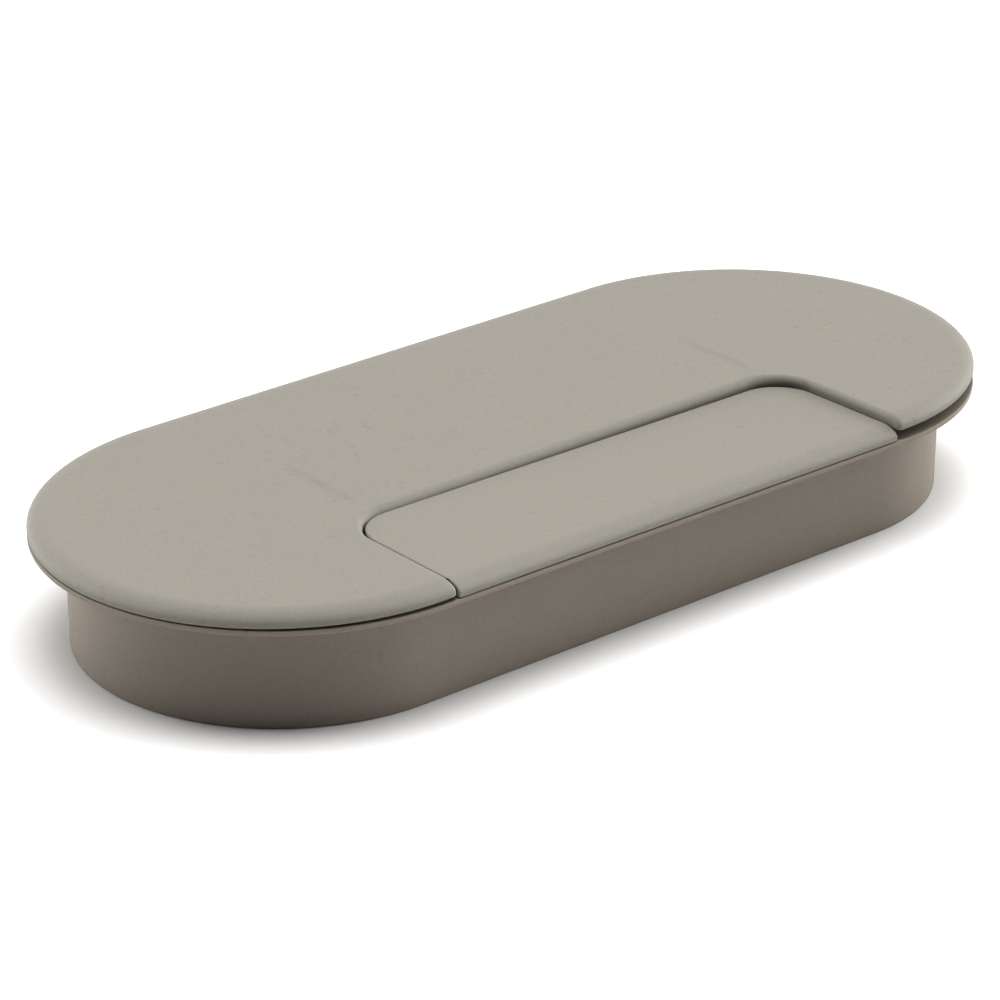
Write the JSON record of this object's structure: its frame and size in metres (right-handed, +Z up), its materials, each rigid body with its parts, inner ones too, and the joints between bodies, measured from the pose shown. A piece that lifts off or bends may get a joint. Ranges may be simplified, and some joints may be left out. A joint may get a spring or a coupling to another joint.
{
  "type": "desk grommet",
  "caption": "Oval desk cable grommet: skirted liner with a flange, plug-in cover with a rounded edge, and a pivoting cable flap in the cover's front side.",
  "frame": {"origin": "centre of the liner's lower rim, on the plane that the liner stands on", "axes": "+X along the oval, +Y away from the cable flap, +Z up towards the cover"},
  "size_m": [0.177, 0.08, 0.0235],
  "materials": {
    "liner_plastic": "warm grey moulded plastic with a fine satin texture",
    "cover_plastic": "warm grey moulded plastic with a fine spark-eroded texture",
    "flap_plastic": "warm grey moulded plastic with a fine spark-eroded texture",
    "pin_steel": "turned steel"
  },
  "bodies": {
    "liner": {"base_liner": "liner_plastic"},
    "cover": {"cover": "cover_plastic"},
    "flap": {"cable_flap": "flap_plastic", "flap_pin_left": "pin_steel", "flap_pin_right": "pin_steel"}
  },
  "joints": [
    {"name": "cover_tip", "type": "hinge", "parent": "liner", "child": "cover", "pos_m": [-0.0885, 0, 0.0193], "axis": [0, -1, 0], "range_deg": [-0.69, 75]},
    {"name": "flap_hinge", "type": "hinge", "parent": "liner", "child": "flap", "pos_m": [0, -0.022, 0.0176], "axis": [-1, 0, 0], "range_deg": [0, 95]}
  ]
}
